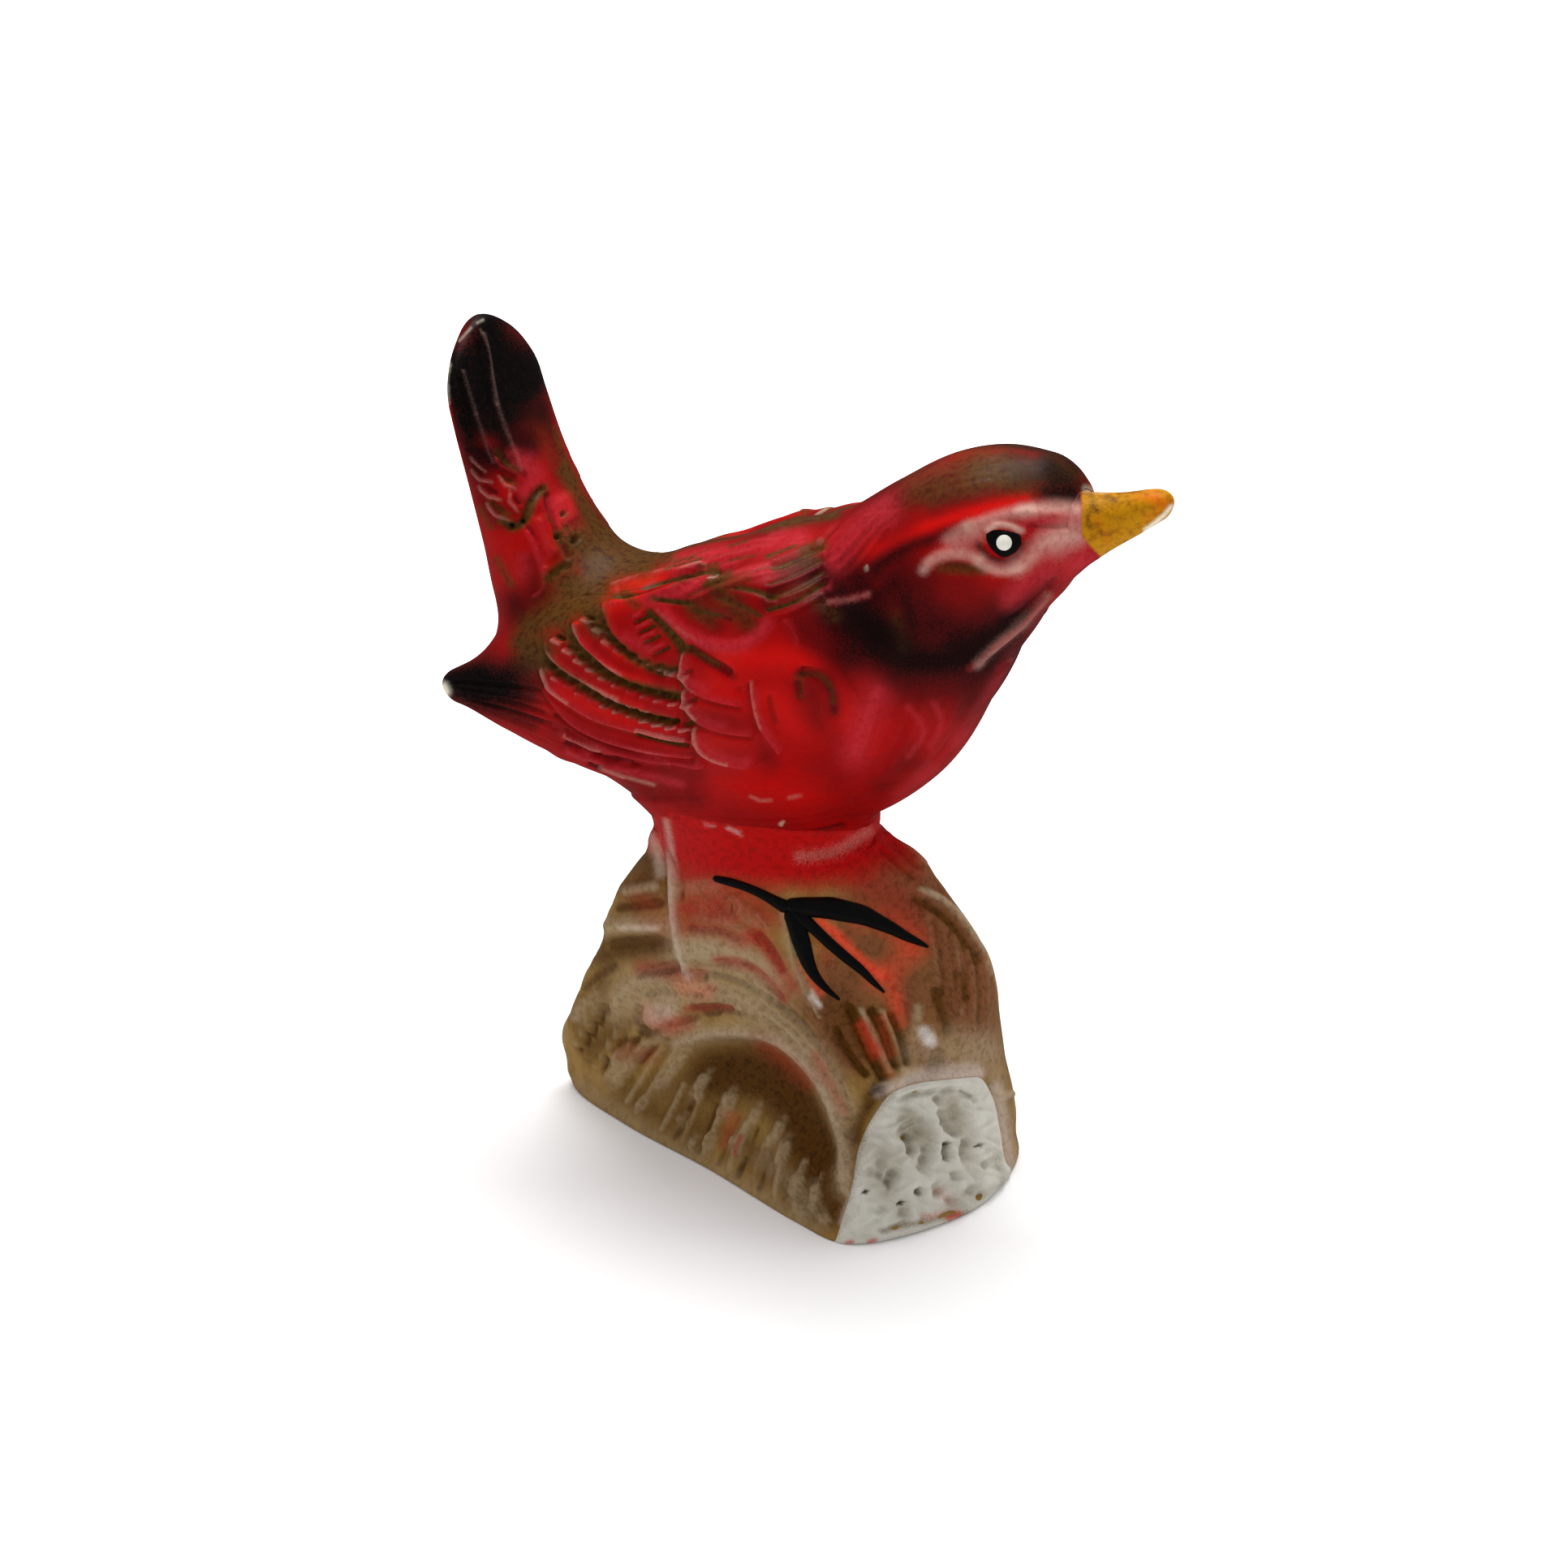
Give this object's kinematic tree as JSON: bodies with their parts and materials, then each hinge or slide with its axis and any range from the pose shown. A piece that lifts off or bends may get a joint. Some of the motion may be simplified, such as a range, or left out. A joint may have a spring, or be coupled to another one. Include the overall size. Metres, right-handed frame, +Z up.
{
  "type": "songbird figurine",
  "caption": "Small hand-painted cast songbird with cocked tail and folded wings, perched on a short log stump with a pale cut end; a free-standing ornament.",
  "frame": {"origin": "on the table, in the flat underside of the stump, under the bird's legs", "axes": "+X the way the bird faces, +Y the bird's left, +Z up; the bird's median plane is y = 0"},
  "size_m": [0.0823, 0.0381, 0.0889],
  "materials": {
    "stump_paint": "olive-brown and grey-beige airbrushed paint under gloss",
    "bare_white": "white body under thin gloss, pitted",
    "leg_paint": "red fading to brown, gloss",
    "plumage_red": "glossy red with dark airbrushed shading",
    "wing_paint": "glossy red with brown in the hollows and black tips",
    "tail_paint": "glossy red fading to black at the tip",
    "beak_ochre": "ochre yellow, gloss",
    "eye_black": "raised black paint, high gloss",
    "glint_white": "raised white paint dot",
    "foot_black": "thick black paint, gloss"
  },
  "bodies": {
    "root": {"stump": "stump_paint", "log_end": "bare_white", "leg_pillar": "leg_paint", "torso": "plumage_red", "head": "plumage_red", "beak": "beak_ochre", "tail": "tail_paint", "right_wing": "wing_paint", "left_wing": "wing_paint", "right_eye": "eye_black", "left_eye": "eye_black", "right_eye_glint": "glint_white", "left_eye_glint": "glint_white", "right_foot": "foot_black", "left_foot": "foot_black"}
  },
  "joints": []
}
